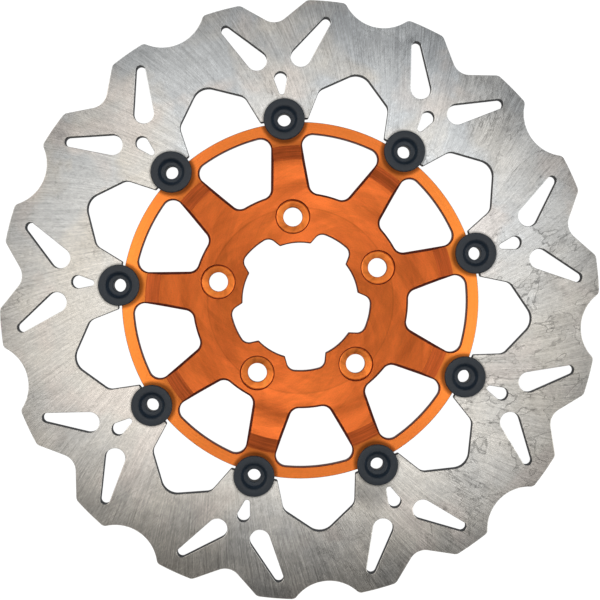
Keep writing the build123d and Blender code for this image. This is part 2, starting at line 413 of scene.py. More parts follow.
def brake_ring(materials):
    edge = 0.25
    base = [subdivide(oriented(ring_outer(), True), 6)]
    base += [subdivide(oriented(lp, False), 6) for lp in [ring_inner()] + ring_slots()]
    front = [offset(lp, edge) for lp in base]
    mid = [offset(lp, 0.075) for lp in base]
    P, rows, tri = triangles(front)
    b = Body()
    top = b.add(P, Z_FRONT)
    bottom = b.add(P, Z_BACK)
    for t in tri:
        b.f += [tuple(top[i] for i in t), tuple(bottom[i] for i in t[::-1])]
        b.m += [0, 0]
    for lp, md, ids in zip(base, mid, rows):
        levels = [[top[i] for i in ids], b.add(md, Z_FRONT - 0.075), b.add(lp, Z_FRONT - edge),
                  b.add(lp, Z_BACK + edge), b.add(md, Z_BACK + 0.075), [bottom[i] for i in ids]]
        for i, (u, w) in enumerate(zip(levels, levels[1:])):
            b.strip(u, w, 1 if 1 <= i <= 3 else 0)
    return b.object("brake_ring_ground", materials)


def grooves(r0, z0, r1, z1, n, depth):
    """Fine tool ridges along a sloped band."""
    out = []
    for i in range(1, 2 * n):
        t = i / (2 * n)
        out.append((r0 + (r1 - r0) * t, z0 + (z1 - z0) * t - (depth if i % 2 else 0)))
    return out


SLOPE = grooves(75.6, 9.0, 69.0, 6.75, 8, 0.035)
FRONT = [(20, 6.35), (45.3, 6.35), (46.3, 6.5), (55.6, 6.5), (56.5, 6.38), (62.0, 6.32), (66.1, 6.48), (66.9, 6.60),
         (69.0, 6.75)] + SLOPE + [(75.6, 9.0), (90, 9.0)]
BACK = [(20, 0), (50, 0), (50.5, 0.5), (66, 0.5), (75.6, 4.0), (90, 4.0)]
BEVEL = [(30, 0.42), (45, 0.5), (47, 0.85), (52.7, 0.98), (54.5, 1.15), (58, 1.25), (62.5, 1.3), (69, 1.32), (75.4, 0.72),
         (78, 0.62), (80, 0.58), (81.7, 0.28), (84, 0.2), (90, 0.2)]


def carrier(materials):
    zf, zb, bev = radial(FRONT), radial(BACK), radial(BEVEL)
    front_radii = [r for r, _ in FRONT if 40 < r < 80]
    back_radii = [50, 50.5, 66, 75.6]
    outlines = [subdivide(oriented(carrier_outer(), True), 4), subdivide(oriented(pilot(), False), 3)]
    w = window()
    outlines += [offset(subdivide(oriented(turned(w, A0 + 40 * k), False), 3), -0.3) for k in range(9)]
    sets = []
    for lp in outlines:
        f, k = offset(lp, bev(size(lp))), offset(lp, 0.25)
        sets.append(cross_points([f, lp, k], {0: front_radii, 2: back_radii}))
    holes = []
    for k in range(5):
        t = np.radians(np.arange(0, 360, 5.0))
        c = at(82.55 / 2, A0 + 72 * k)
        unit = np.c_[np.cos(t), np.sin(t)][::-1]
        rows = [c + unit * r for r in (8.52, 8.12, 8.06, 7.94, 7.6, 6.6, 5.6, 4.95, 4.7, 4.7, 4.95)]
        rows = cross_points(rows, {0: front_radii, 10: back_radii})
        holes.append(rows)
    front = [s[0] for s in sets] + [h[0] for h in holes]
    back = [s[2] for s in sets] + [h[-1] for h in holes]
    P, rows, tri = triangles(front, circle_chains(front_radii, front))
    Q, rows_b, tri_b = triangles(back, circle_chains(back_radii, back))
    b = Body()
    top = b.add(P, zf(size(P)))
    bottom = b.add(Q, zb(size(Q)))
    b.f += [tuple(top[i] for i in t) for t in tri] + [tuple(bottom[i] for i in t[::-1]) for t in tri_b]
    b.m += [0 if q > 75.6 else 4 if q > 69.0 else 3 for q in size(P[tri].mean(1))]
    b.m += [0 if q > 75.6 else 4 if q > 66.0 else 3 for q in size(Q[tri_b].mean(1))]
    for i, s in enumerate(sets):
        f, lp, k = s
        drop = bev(size(lp)) * 1.3
        mid = lp + (f - lp) * 0.86
        low = lp + (f - lp) * 0.10
        levels = [[top[j] for j in rows[i]], b.add(mid, zf(size(f)) - drop * 0.10), b.add(low, zf(size(f)) - drop * 0.80),
                  b.add(lp, zf(size(lp)) - drop), b.add(lp, zb(size(lp)) + 0.25), [bottom[j] for j in rows_b[i]]]
        for n, (u, w2) in enumerate(zip(levels, levels[1:])):
            b.strip(u, w2, 0 if n == 4 else 1)
    depth = [0, 0.6, 1.62, 1.86, 2.0, 2.1, 2.28, 2.38, 2.62]
    for h, ids, ids_b in zip(holes, rows[len(sets):], rows_b[len(sets):]):
        levels = [[top[j] for j in ids], b.add(h[1], zf(size(h[0])) - 0.6)]
        levels += [b.add(h[i], 6.35 - depth[i]) for i in range(2, 9)]
        levels += [b.add(h[9], 0.25), [bottom[j] for j in ids_b]]
        mats = [1, 1, 2, 2, 2, 2, 2, 2, 1, 0]
        for u, w2, m in zip(levels, levels[1:], mats):
            b.strip(u, w2, m)
    return b.object("carrier_machined", materials)


def lathe(name, profile, centre, materials, n=72, sharp=25.0, wave=None, groups=None):
    """Turns a closed (r, z) section, listed anticlockwise, about a vertical axis. wave(angle) lifts it."""
    b = Body()
    t = np.radians(np.arange(n) * 360 / n)
    lift = np.zeros(n) if wave is None else wave(t)
    rows = [b.add(np.c_[centre[0] + r * np.cos(t), centre[1] + r * np.sin(t)], z + lift) for r, z in profile]
    for i, row in enumerate(rows):
        b.strip(row, rows[(i + 1) % len(rows)], 0 if groups is None else groups[i], flip=True)
    return b.object(name, materials, sharp)


def rounded(points, n=4):
    """A closed (r, z) section with its third numbers as corner radii."""
    out = []
    m = len(points)
    for i, (x, y, r) in enumerate(points):
        p, v, q = V(*points[i - 1][:2]), V(x, y), V(*points[(i + 1) % m][:2])
        if r <= 0:
            out.append(v)
            continue
        a, c = (p - v) / np.linalg.norm(p - v), (q - v) / np.linalg.norm(q - v)
        half = math.acos(max(-1, min(1, float(a @ c)))) / 2
        t = r / math.tan(half)
        mid = (a + c) / np.linalg.norm(a + c)
        ctr = v + mid * r / math.sin(half)
        s, e = v + a * t, v + c * t
        a0, a1 = ang(s - ctr), ang(e - ctr)
        d = (a1 - a0 + 180) % 360 - 180
        for k in range(n + 1):
            w = math.radians(a0 + d * k / n)
            out.append(ctr + r * V(math.cos(w), math.sin(w)))
    return [tuple(p) for p in out]


TOP = 10.65
BOBBIN = rounded([
    (3.2, 0.9, 0.15), (7.5, 0.9, 0.35), (7.5, 1.58, 0.04), (6.95, 1.58, 0), (6.95, 2.42, 0), (7.5, 2.42, 0.04),
    (7.5, 9.15, 0.12), (10.0, 9.15, 0.18), (10.0, TOP - 0.42, 0.16), (9.58, TOP, 0.2), (6.75, TOP, 0.32),
    (6.28, TOP - 0.42, 0.3), (5.15, TOP - 2.7, 0.35), (4.75, TOP - 3.0, 0.3), (3.42, TOP - 3.0, 0.08), (3.2, TOP - 3.22, 0.08)])


def circlip_outline(spin, centre):
    """Open ring with a lug at each end of its gap."""
    half, lug = 26.0, 34.0
    pts = []
    for s in (1, -1):
        c = at(8.1, s * lug)
        inner = circle_circle((0, 0), 7.0, c, 1.35)
        outer = circle_circle((0, 0), 8.7, c, 1.35)
        near_gap = min(inner, key=lambda p: abs(ang(p)))
        far = max(outer, key=lambda p: abs(ang(p)))
        a, b2 = ang(near_gap - c), ang(far - c)
        d = (b2 - a) % 360 if s > 0 else -((a - b2) % 360)
        n = 18
        t = np.radians(a + d * np.linspace(0, 1, n + 1))
        lugrow = np.c_[c[0] + 1.35 * np.cos(t), c[1] + 1.35 * np.sin(t)]
        pts.append((lugrow, near_gap, far))
    (l1, n1, f1), (l2, n2, f2) = pts
    a1, a2 = ang(f1), ang(f2) % 360
    t = np.radians(np.linspace(a1, a2, 64))
    outer = np.c_[8.7 * np.cos(t), 8.7 * np.sin(t)]
    b1, b2 = ang(n1), ang(n2) % 360
    t = np.radians(np.linspace(b2, b1, 64))
    inner = np.c_[7.0 * np.cos(t), 7.0 * np.sin(t)]
    loop = closed(join(l1, outer, l2[::-1], inner))
    t = np.radians(np.arange(0, 360, 20.0))
    eyes = [at(8.25, s * lug) + 0.6 * np.c_[np.cos(t), np.sin(t)] for s in (1, -1)]
    return [turned(p, spin) + centre for p in [loop] + eyes]


def circlip(name, spin, centre, materials):
    loops = circlip_outline(spin, centre)
    base = [oriented(loops[0], True)] + [oriented(lp, False) for lp in loops[1:]]
    front = [offset(lp, 0.07) for lp in base]
    P, rows, tri = triangles(front)
    z0, z1 = 1.60, 2.40
    b = Body()
    top, bottom = b.add(P, z1), b.add(P, z0)
    for t in tri:
        b.f += [tuple(top[i] for i in t), tuple(bottom[i] for i in t[::-1])]
        b.m += [0, 0]
    for lp, ids in zip(base, rows):
        levels = [[top[i] for i in ids], b.add(lp, z1 - 0.07), b.add(lp, z0 + 0.07), [bottom[i] for i in ids]]
        for u, w in zip(levels, levels[1:]):
            b.strip(u, w, 0)
    return b.object(name, materials, 25)


# ---------------------------------------------------------------------------
# materials
# ---------------------------------------------------------------------------
class Nodes:
    """Short names for building a node tree."""

    def __init__(self, tree):
        self.t = tree

    def new(self, kind, **props):
        n = self.t.nodes.new(kind)
        for k, v in props.items():
            setattr(n, k, v)
        return n

    def put(self, socket, value):
        if isinstance(value, bpy.types.NodeSocket):
            self.t.links.new(value, socket)
        else:
            socket.default_value = value

    def math(self, op, a, b=0.0, c=0.0, clamp=False):
        n = self.new("ShaderNodeMath", operation=op, use_clamp=clamp)
        for i, v in enumerate((a, b, c)):
            self.put(n.inputs[i], v)
        return n.outputs[0]

    def add(self, a, b):
        return self.math("ADD", a, b)

    def sub(self, a, b):
        return self.math("SUBTRACT", a, b)

    def mul(self, a, b):
        return self.math("MULTIPLY", a, b)

    def vec(self, x, y, z):
        n = self.new("ShaderNodeCombineXYZ")
        for i, v in enumerate((x, y, z)):
            self.put(n.inputs[i], v)
        return n.outputs[0]

    def split(self, v):
        n = self.new("ShaderNodeSeparateXYZ")
        self.put(n.inputs[0], v)
        return n.outputs

    def noise(self, vector, scale=1.0, detail=2.0, rough=0.5, distort=0.0):
        n = self.new("ShaderNodeTexNoise")
        n.noise_dimensions = "3D"
        self.put(n.inputs["Vector"], vector)
        for k, v in (("Scale", scale), ("Detail", detail), ("Roughness", rough), ("Distortion", distort)):
            n.inputs[k].default_value = v
        return n.outputs[0]

    def range(self, v, a, b, c, d, kind="LINEAR"):
        n = self.new("ShaderNodeMapRange", interpolation_type=kind, clamp=True)
        for k, x in (("Value", v), ("From Min", a), ("From Max", b), ("To Min", c), ("To Max", d)):
            self.put(n.inputs[k], x)
        return n.outputs[0]

    def mix(self, f, a, b, blend="MIX"):
        n = self.new("ShaderNodeMix", data_type="RGBA", blend_type=blend)
        self.put(n.inputs[0], f)
        for s, v in ((n.inputs[6], a), (n.inputs[7], b)):
            self.put(s, v if isinstance(v, bpy.types.NodeSocket) else (*v, 1.0))
        return n.outputs[2]

    def scale_colour(self, colour, f):
        """A colour times a number."""
        n = self.new("ShaderNodeVectorMath", operation="SCALE")
        self.put(n.inputs[0], colour if isinstance(colour, bpy.types.NodeSocket) else colour)
        self.put(n.inputs[3], f)
        return n.outputs[0]

    def bump(self, height, strength, distance):
        n = self.new("ShaderNodeBump")
        n.inputs["Strength"].default_value = strength
        n.inputs["Distance"].default_value = distance
        self.put(n.inputs["Height"], height)
        return n.outputs[0]


def material(name):
    m = bpy.data.materials.new(name)
    m.use_nodes = True
    t = m.node_tree
    t.nodes.clear()
    k = Nodes(t)
    out = k.new("ShaderNodeOutputMaterial")
    p = k.new("ShaderNodeBsdfPrincipled")
    t.links.new(p.outputs[0], out.inputs[0])
    co = k.new("ShaderNodeTexCoord")
    return m, k, p, co


def polar(k, co):
    x, y, z = k.split(co.outputs["Object"])
    r = k.math("SQRT", k.add(k.mul(x, x), k.mul(y, y)))
    return x, y, z, r, k.math("ARCTAN2", y, x)


def around(k, a, count, along, seed=0.0):
    """Coordinates that run round the axis without a seam: count sets how fine, along is the third one."""
    return k.vec(k.mul(k.math("COSINE", a), count), k.mul(k.math("SINE", a), count), k.add(along, seed))


def near_bobbin(k, r, th):
    """Distance from the nearest bobbin's axis."""
    sector = math.radians(PITCH)
    a = k.sub(k.math("FLOORED_MODULO", k.add(th, -math.radians(A0) + sector / 2), sector), sector / 2)
    lx, ly = k.sub(k.mul(r, k.math("COSINE", a)), 0.0885), k.mul(r, k.math("SINE", a))
    return k.math("SQRT", k.add(k.mul(lx, lx), k.mul(ly, ly)))


def steel_ground():
    m, k, p, co = material("ring_steel_ground")
    x, y, z, r, th = polar(k, co)
    lr = k.math("LOGARITHM", k.mul(r, 10.0), math.e)
    obj = co.outputs["Object"]
    wob = k.mul(k.sub(k.noise(obj, 12, 2), 0.5), 0.07)
    u1 = k.add(k.sub(th, k.mul(lr, 0.36)), wob)
    u2 = k.add(th, k.mul(lr, 0.22))
    fine = k.noise(around(k, u1, 300, k.mul(r, 70)), 1, 2, 0.6)
    mid = k.noise(around(k, u1, 110, k.mul(r, 36), 7), 1, 2, 0.6)
    broad = k.noise(around(k, u1, 24, k.mul(r, 14), 3), 1, 2, 0.5)
    cross = k.noise(around(k, u2, 240, k.mul(r, 90), 11), 1, 2, 0.6)
    pits = k.noise(obj, 700, 3, 0.75)
    blot = k.noise(obj, 46, 4, 0.6)
    big = k.noise(obj, 11, 2, 0.5)
    wet = k.noise(around(k, u1, 5.0, k.mul(r, 24), 9), 1, 4, 0.58, 0.5)
    line = k.range(k.math("ABSOLUTE", k.sub(wet, 0.5)), 0.002, 0.010, 1.0, 0.0)
    patchy = k.add(k.noise(obj, 17, 1), k.mul(x, 1.1))
    where = k.range(patchy, 0.47, 0.56, 0.0, 1.0)
    line = k.mul(line, where)
    film = k.mul(k.range(wet, 0.497, 0.505, 0.0, 1.0), where)
    second = k.noise(around(k, u1, 9.0, k.mul(r, 44), 15), 1, 3, 0.6, 0.6)
    film = k.add(film, k.mul(k.range(second, 0.56, 0.575, 0.0, 0.8), k.range(patchy, 0.48, 0.60, 0.0, 1.0)))
    spot = k.mul(k.range(k.noise(obj, 95, 2, 0.5, 0.3), 0.60, 0.70, 0.0, 1.0), k.range(patchy, 0.44, 0.54, 0.0, 1.0))
    smudge = k.range(k.noise(around(k, u1, 90, k.mul(r, 150), 5), 1, 3, 0.7), 0.58, 0.72, 0.0, 1.0)
    smudge = k.mul(smudge, k.range(k.add(k.noise(obj, 60, 2), k.mul(x, 0.25)), 0.49, 0.62, 0.0, 1.0))
    v = k.add(1.0, k.mul(k.sub(fine, 0.5), 0.92))
    v = k.add(v, k.mul(k.sub(mid, 0.5), 0.40))
    v = k.add(v, k.mul(k.sub(broad, 0.5), 0.20))
    v = k.add(v, k.mul(k.sub(cross, 0.5), 0.28))
    v = k.add(v, k.mul(k.sub(pits, 0.5), 0.62))
    v = k.add(v, k.mul(k.sub(blot, 0.5), 0.44))
    again = k.range(k.math("ABSOLUTE", k.sub(second, 0.567)), 0.002, 0.011, 1.0, 0.0)
    line = k.math("MAXIMUM", line, k.mul(again, k.range(patchy, 0.48, 0.58, 0.0, 0.8)))
    v = k.sub(v, k.mul(line, 0.25))
    v = k.sub(v, k.mul(film, 0.09))
    v = k.sub(v, k.mul(spot, 0.16))
    v = k.sub(v, k.mul(smudge, 0.32))
    v = k.mul(v, k.range(r, 0.134, 0.146, 1.0, 0.90))
    # soft lighter and darker patches at fixed places: painted light and painted shade, partly polish variation
    for cx, cy, near, far, value in ((0.0725, -0.090, 0.012, 0.058, 1.20), (-0.067, 0.122, 0.010, 0.050, 1.09),
                                     (-0.059, -0.112, 0.010, 0.050, 0.91), (0.026, -0.094, 0.004, 0.015, 0.58)):
        px, py = k.sub(x, cx), k.sub(y, cy)
        polish_and_painted_light = k.range(k.math("SQRT", k.add(k.mul(px, px), k.mul(py, py))), near, far, value, 1.0, "SMOOTHSTEP")
        v = k.mul(v, polish_and_painted_light)
    # painted shade: the ring steel darkened in a narrow ring round each bobbin's foot, where the bobbin shades it
    v = k.mul(v, k.range(near_bobbin(k, r, th), 0.0101, 0.0113, 0.50, 1.0, "SMOOTHSTEP"))
    tint = k.range(k.add(k.add(big, k.mul(blot, 0.5)), k.add(k.mul(x, -0.7), k.mul(y, -0.9))), 0.5, 0.95, 0.0, 1.0)
    colour = k.mix(tint, (0.550, 0.556, 0.558), (0.618, 0.586, 0.535))
    cool = k.mul(k.range(k.noise(obj, 26, 3, 0.5, 0.4), 0.44, 0.56, 0.0, 1.0), k.range(y, 0.0, 0.08, 0.0, 0.75))
    colour = k.mix(cool, colour, (0.520, 0.550, 0.580))
    rose = k.range(k.noise(k.vec(k.add(x, 3.0), y, z), 30, 3, 0.5, 0.4), 0.53, 0.63, 0.0, 0.6)
    colour = k.mix(rose, colour, (0.640, 0.585, 0.548))
    k.put(p.inputs["Base Color"], k.scale_colour(colour, k.math("MAXIMUM", v, 0.2)))
    p.inputs["Metallic"].default_value = 1.0
    rough = k.add(0.225, k.mul(k.sub(fine, 0.5), 0.12))
    rough = k.add(rough, k.mul(k.sub(blot, 0.5), 0.10))
    k.put(p.inputs["Roughness"], k.add(rough, k.mul(line, 0.06)))
    p.inputs["Anisotropic"].default_value = 0.9
    p.inputs["Anisotropic Rotation"].default_value = 0.0556
    tan = k.new("ShaderNodeTangent", direction_type="RADIAL", axis="Z")
    k.put(p.inputs["Tangent"], tan.outputs[0])
    h = k.add(k.mul(fine, 1.0), k.add(k.mul(cross, 0.4), k.mul(mid, 0.5)))
    wave = k.add(k.noise(obj, 70, 2, 0.5), k.mul(k.noise(around(k, u1, 40, k.mul(r, 60), 21), 1, 1), 0.6))
    slow = k.bump(wave, 1.0, 0.00005)
    b = k.new("ShaderNodeBump")
    b.inputs["Strength"].default_value = 0.3
    b.inputs["Distance"].default_value = 0.00006
    k.put(b.inputs["Height"], h)
    k.put(b.inputs["Normal"], slow)
    k.put(p.inputs["Normal"], b.outputs[0])
    return m


def steel_cut():
    m, k, p, co = material("ring_steel_cut")
    x, y, z, r, th = polar(k, co)
    n1 = k.noise(k.vec(k.mul(x, 900), k.mul(y, 900), k.mul(z, 60)), 1, 2)
    n2 = k.noise(co.outputs["Object"], 70, 2)
    v = k.add(0.85, k.add(k.mul(k.sub(n1, 0.5), 0.7), k.mul(k.sub(n2, 0.5), 0.5)))
    # painted shade: the cut walls darker towards the back face and lighter towards the front
    v = k.mul(v, k.range(z, 0.004, 0.009, 0.7, 1.15))
    k.put(p.inputs["Base Color"], k.scale_colour(k.mix(n2, (0.15, 0.165, 0.19), (0.19, 0.19, 0.195)), v))
    p.inputs["Metallic"].default_value = 1.0
    k.put(p.inputs["Roughness"], k.range(n1, 0.2, 0.8, 0.38, 0.55))
    k.put(p.inputs["Normal"], k.bump(n1, 0.35, 0.00008))
    return m


def orange_face(name, kind):
    """Anodised face. The rim is turned and its fine lines run round. The hub is milled and its lines sweep
    outward. The band is the sloped step between them, with coarser tool ridges."""
    m, k, p, co = material(name)
    milled = kind == "milled"
    x, y, z, r, th = polar(k, co)
    obj = co.outputs["Object"]
    cs, sn = k.math("COSINE", th), k.math("SINE", th)
    rings = k.noise(k.vec(k.mul(r, 1300), k.mul(cs, 2.0), k.mul(sn, 2.0)), 1, 3, 0.7)
    wide = k.noise(k.vec(k.mul(r, 330), k.mul(cs, 2.5), k.mul(sn, 2.5)), 1, 2)
    grain = k.noise(obj, 1400, 3, 0.7)
    cloud = k.noise(obj, 75, 4, 0.6)
    v = k.add(1.0, k.mul(k.sub(rings, 0.5), {"milled": 0.26, "turned": 0.40, "band": 1.5}[kind]))
    v = k.add(v, k.mul(k.sub(wide, 0.5), 0.20))
    v = k.add(v, k.mul(k.sub(cloud, 0.5), 0.32))
    v = k.add(v, k.mul(k.sub(grain, 0.5), 0.32))
    h = k.add(k.mul(rings, 1.0), k.add(k.mul(wide, 0.6), k.mul(grain, 0.5)))
    mixer = k.range(cloud, 0.3, 0.7, 0.0, 1.0)
    if milled:
        q = k.add(th, k.mul(k.sub(r, 0.04), 34))
        swirl = k.noise(around(k, q, 3.4, k.mul(r, 90), 2), 1, 2, 0.5, 0.4)
        other = k.noise(around(k, k.sub(th, k.mul(r, 52)), 4.2, k.mul(r, 60), 9), 1, 2, 0.5, 0.3)
        sweep = k.noise(around(k, q, 95, k.mul(r, 60), 4), 1, 3, 0.65)
        step = k.range(swirl, 0.47, 0.53, 0.0, 1.0)
        v = k.add(v, k.mul(k.sub(step, 0.5), 0.06))
        v = k.add(v, k.mul(k.sub(swirl, 0.5), 0.50))
        v = k.add(v, k.mul(k.sub(other, 0.5), 0.34))
        v = k.add(v, k.mul(k.sub(sweep, 0.5), 0.28))
        # painted shade and highlight of the turned steps: darker inside the step at 45.4 mm, a dark line along it and
        # a light line at 56.5 mm
        v = k.mul(v, k.range(r, 0.0454, 0.0461, 0.90, 1.0))
        v = k.sub(v, k.mul(k.range(k.math("ABSOLUTE", k.sub(r, 0.0454)), 0.0001, 0.0005, 1.0, 0.0), 0.10))
        v = k.add(v, k.mul(k.range(k.math("ABSOLUTE", k.sub(r, 0.0565)), 0.0001, 0.0006, 1.0, 0.0), 0.05))
        h = k.add(h, k.add(k.mul(swirl, 1.5), k.mul(sweep, 0.8)))
        colour = k.mix(mixer, (0.79, 0.168, 0.037), (0.81, 0.186, 0.039))
    elif kind == "turned":
        v = k.mul(v, k.range(r, 0.0758, 0.0815, 0.62, 1.0, "SMOOTHSTEP"))
        colour = k.mix(mixer, (0.86, 0.208, 0.043), (0.89, 0.236, 0.044))
        # painted highlight: the rim turned yellower towards the left and right sides
        colour = k.mix(k.range(k.math("ABSOLUTE", x), 0.052, 0.078, 0.0, 0.75), colour, (0.92, 0.268, 0.045))
    else:
        # painted light: the sloped band lighter towards +y and darker towards -y
        v = k.mul(v, k.range(y, -0.075, 0.075, 0.73, 1.10))
        colour = k.mix(mixer, (0.63, 0.131, 0.034), (0.68, 0.141, 0.034))
    if kind != "milled":
        # painted shade: a dark crescent round each bobbin's foot, shifted towards the hub
        v = k.mul(v, k.range(near_bobbin(k, k.add(r, 0.0006), th), 0.0103, 0.0124, 0.30, 1.0, "SMOOTHSTEP"))
    k.put(p.inputs["Base Color"], k.scale_colour(colour, v))
    p.inputs["Metallic"].default_value = 1.0
    rough = k.add({"milled": 0.42, "turned": 0.31, "band": 0.47}[kind], k.mul(k.sub(rings, 0.5), 0.14))
    k.put(p.inputs["Roughness"], k.add(rough, k.mul(k.sub(cloud, 0.5), 0.18)))
    if kind != "band":
        p.inputs["Anisotropic"].default_value = 0.82 if milled else 0.95
        p.inputs["Anisotropic Rotation"].default_value = 0.0 if milled else 0.25
        tan = k.new("ShaderNodeTangent", direction_type="RADIAL", axis="Z")
        k.put(p.inputs["Tangent"], tan.outputs[0])
    k.put(p.inputs["Normal"], k.bump(h, 0.35, 0.00008))
    return m


def orange_edge():
    m, k, p, co = material("carrier_orange_edge")
    x, y, z, r, th = polar(k, co)
    n1 = k.noise(k.vec(k.mul(x, 700), k.mul(y, 700), k.mul(z, 250)), 1, 2)
    n2 = k.noise(co.outputs["Object"], 55, 2)
    v = k.add(1.0, k.add(k.mul(k.sub(n1, 0.5), 0.5), k.mul(k.sub(n2, 0.5), 0.5)))
    # painted shade: chamfers and walls given a dark brown in place of the anodised orange
    k.put(p.inputs["Base Color"], k.scale_colour(k.mix(n2, (0.25, 0.058, 0.040), (0.34, 0.078, 0.046)), v))
    p.inputs["Metallic"].default_value = 1.0
    k.put(p.inputs["Roughness"], k.range(n1, 0.2, 0.8, 0.26, 0.40))
    k.put(p.inputs["Normal"], k.bump(n1, 0.25, 0.00006))
    return m


def orange_recess():
    m, k, p, co = material("carrier_orange_recess")
    x, y, z, r, th = polar(k, co)
    obj = co.outputs["Object"]
    # angle about the nearest bolt hole
    sector = math.radians(72)
    a = k.sub(k.math("FLOORED_MODULO", k.add(th, -math.radians(90) + sector / 2), sector), sector / 2)
    lx = k.sub(k.mul(r, k.math("COSINE", a)), 0.041275)
    ly = k.mul(r, k.math("SINE", a))
    rr = k.math("SQRT", k.add(k.mul(lx, lx), k.mul(ly, ly)))
    ta = k.math("ARCTAN2", ly, lx)
    sw = k.noise(k.vec(k.mul(k.math("COSINE", k.add(ta, k.mul(rr, 90))), 1.6), k.mul(k.math("SINE", k.add(ta, k.mul(rr, 90))), 1.6), k.mul(r, 30)), 1, 2, 0.5)
    rings = k.noise(k.vec(k.mul(rr, 1600), k.mul(x, 30), k.mul(y, 30)), 1, 2)
    # painted highlight: the swirls' bright golden end stands for highlights and light bounced within the dished
    # recess
    v = k.add(1.0, k.add(k.mul(k.sub(sw, 0.5), 1.1), k.mul(k.sub(rings, 0.5), 0.25)))
    k.put(p.inputs["Base Color"], k.scale_colour(k.mix(sw, (0.74, 0.165, 0.033), (1.0, 0.290, 0.056)), v))
    p.inputs["Metallic"].default_value = 1.0
    k.put(p.inputs["Roughness"], k.range(sw, 0.2, 0.8, 0.30, 0.42))
    k.put(p.inputs["Normal"], k.bump(rings, 0.3, 0.00005))
    return m


def black_anodised():
    m, k, p, co = material("bobbin_black_anodised")
    g = k.split(co.outputs["Generated"])
    gx, gy = k.sub(g[0], 0.5), k.sub(g[1], 0.5)
    rr = k.math("SQRT", k.add(k.mul(gx, gx), k.mul(gy, gy)))
    ta = k.math("ARCTAN2", gy, gx)
    obj = co.outputs["Object"]
    rings = k.noise(k.vec(k.mul(rr, 60), k.mul(k.math("COSINE", ta), 1.2), k.mul(k.math("SINE", ta), 1.2)), 1, 3, 0.6)
    grain = k.noise(obj, 2200, 2, 0.6)
    cloud = k.noise(obj, 180, 3, 0.55)
    edge = k.mul(k.range(rr, 0.468, 0.486, 0.0, 1.0), k.range(k.noise(obj, 700, 2), 0.45, 0.62, 0.0, 1.0))
    v = k.add(1.0, k.add(k.mul(k.sub(rings, 0.5), 0.5), k.mul(k.sub(cloud, 0.5), 0.6)))
    v = k.add(v, k.mul(k.sub(grain, 0.5), 0.4))
    v = k.mul(v, k.range(rr, 0.30, 0.33, 1.5, 1.0))
    base = k.scale_colour(k.mix(cloud, (0.0075, 0.0145, 0.0245), (0.0125, 0.020, 0.031)), v)
    k.put(p.inputs["Base Color"], k.mix(k.mul(edge, 0.35), base, (0.07, 0.075, 0.08)))
    p.inputs["Metallic"].default_value = 0.0
    k.put(p.inputs["Roughness"], k.add(0.40, k.add(k.mul(k.sub(rings, 0.5), 0.14), k.mul(k.sub(cloud, 0.5), 0.16))))
    k.put(p.inputs["Normal"], k.bump(k.add(k.mul(rings, 0.8), k.mul(grain, 0.5)), 0.25, 0.00005))
    return m


def small_steel(name, light, dark, rough):
    m, k, p, co = material(name)
    g = k.split(co.outputs["Generated"])
    gx, gy = k.sub(g[0], 0.5), k.sub(g[1], 0.5)
    rr = k.math("SQRT", k.add(k.mul(gx, gx), k.mul(gy, gy)))
    obj = co.outputs["Object"]
    rings = k.noise(k.vec(k.mul(rr, 45), gx, gy), 1, 3, 0.6)
    cloud = k.noise(obj, 240, 3, 0.6)
    scratch = k.noise(k.vec(k.mul(g[0], 60), k.mul(g[1], 4), 0.0), 1, 2)
    v = k.add(1.0, k.add(k.mul(k.sub(rings, 0.5), 0.4), k.mul(k.sub(scratch, 0.5), 0.25)))
    k.put(p.inputs["Base Color"], k.scale_colour(k.mix(cloud, dark, light), v))
    p.inputs["Metallic"].default_value = 1.0
    k.put(p.inputs["Roughness"], k.add(rough, k.add(k.mul(k.sub(cloud, 0.5), 0.2), k.mul(k.sub(rings, 0.5), 0.1))))
    k.put(p.inputs["Normal"], k.bump(k.add(rings, scratch), 0.2, 0.00005))
    return m


GROUND, CUT = steel_ground(), steel_cut()
TURNED, MILLED, BAND = [orange_face("carrier_orange_" + kind, kind) for kind in ("turned", "milled", "band")]
EDGE, RECESS = orange_edge(), orange_recess()
BLACK = black_anodised()
WASHER = small_steel("washer_steel_satin", (0.52, 0.515, 0.50), (0.42, 0.42, 0.42), 0.34)
SPRING = small_steel("wave_spring_steel", (0.36, 0.35, 0.33), (0.26, 0.255, 0.25), 0.30)
CLIP = small_steel("circlip_phosphated", (0.10, 0.10, 0.10), (0.055, 0.055, 0.06), 0.48)

# ---------------------------------------------------------------------------
# pieces
# ---------------------------------------------------------------------------
def place(ob, body, node):
    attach(ob, body)
    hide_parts(node)


place(brake_ring([GROUND, CUT]), "disc", "brake_ring")
place(carrier([TURNED, EDGE, RECESS, MILLED, BAND]), "carrier", "carrier")
FLAT = rounded([(7.6, 3.05, 0.1), (9.9, 3.05, 0.14), (9.9, 3.85, 0.14), (7.6, 3.85, 0.1)])
WAVE = rounded([(7.65, -0.175, 0.05), (9.5, -0.175, 0.05), (9.5, 0.175, 0.05), (7.65, 0.175, 0.05)], 2)
WAVE_MID = 2.725
for k in range(9):
    angle = A0 + PITCH * k
    c = at(88.5, angle)
    name = str(k + 1)
    body = "bobbin_" + name
    place(lathe("bobbin_turned_" + name, BOBBIN, c, [BLACK], 96), body, body)
    place(lathe("flat_washer_round_" + name, FLAT, c, [WASHER], 72), body, "flat_washer_" + name)
    lift = lambda t, s=math.radians(angle): WAVE_MID + 0.125 * np.cos(3 * (t - s))
    place(lathe("wave_washer_round_" + name, WAVE, c, [SPRING], 96, wave=lift), body, "wave_washer_" + name)
    place(circlip("circlip_round_" + name, angle + 25 + 40 * k, c, [CLIP]), body, "circlip_" + name)

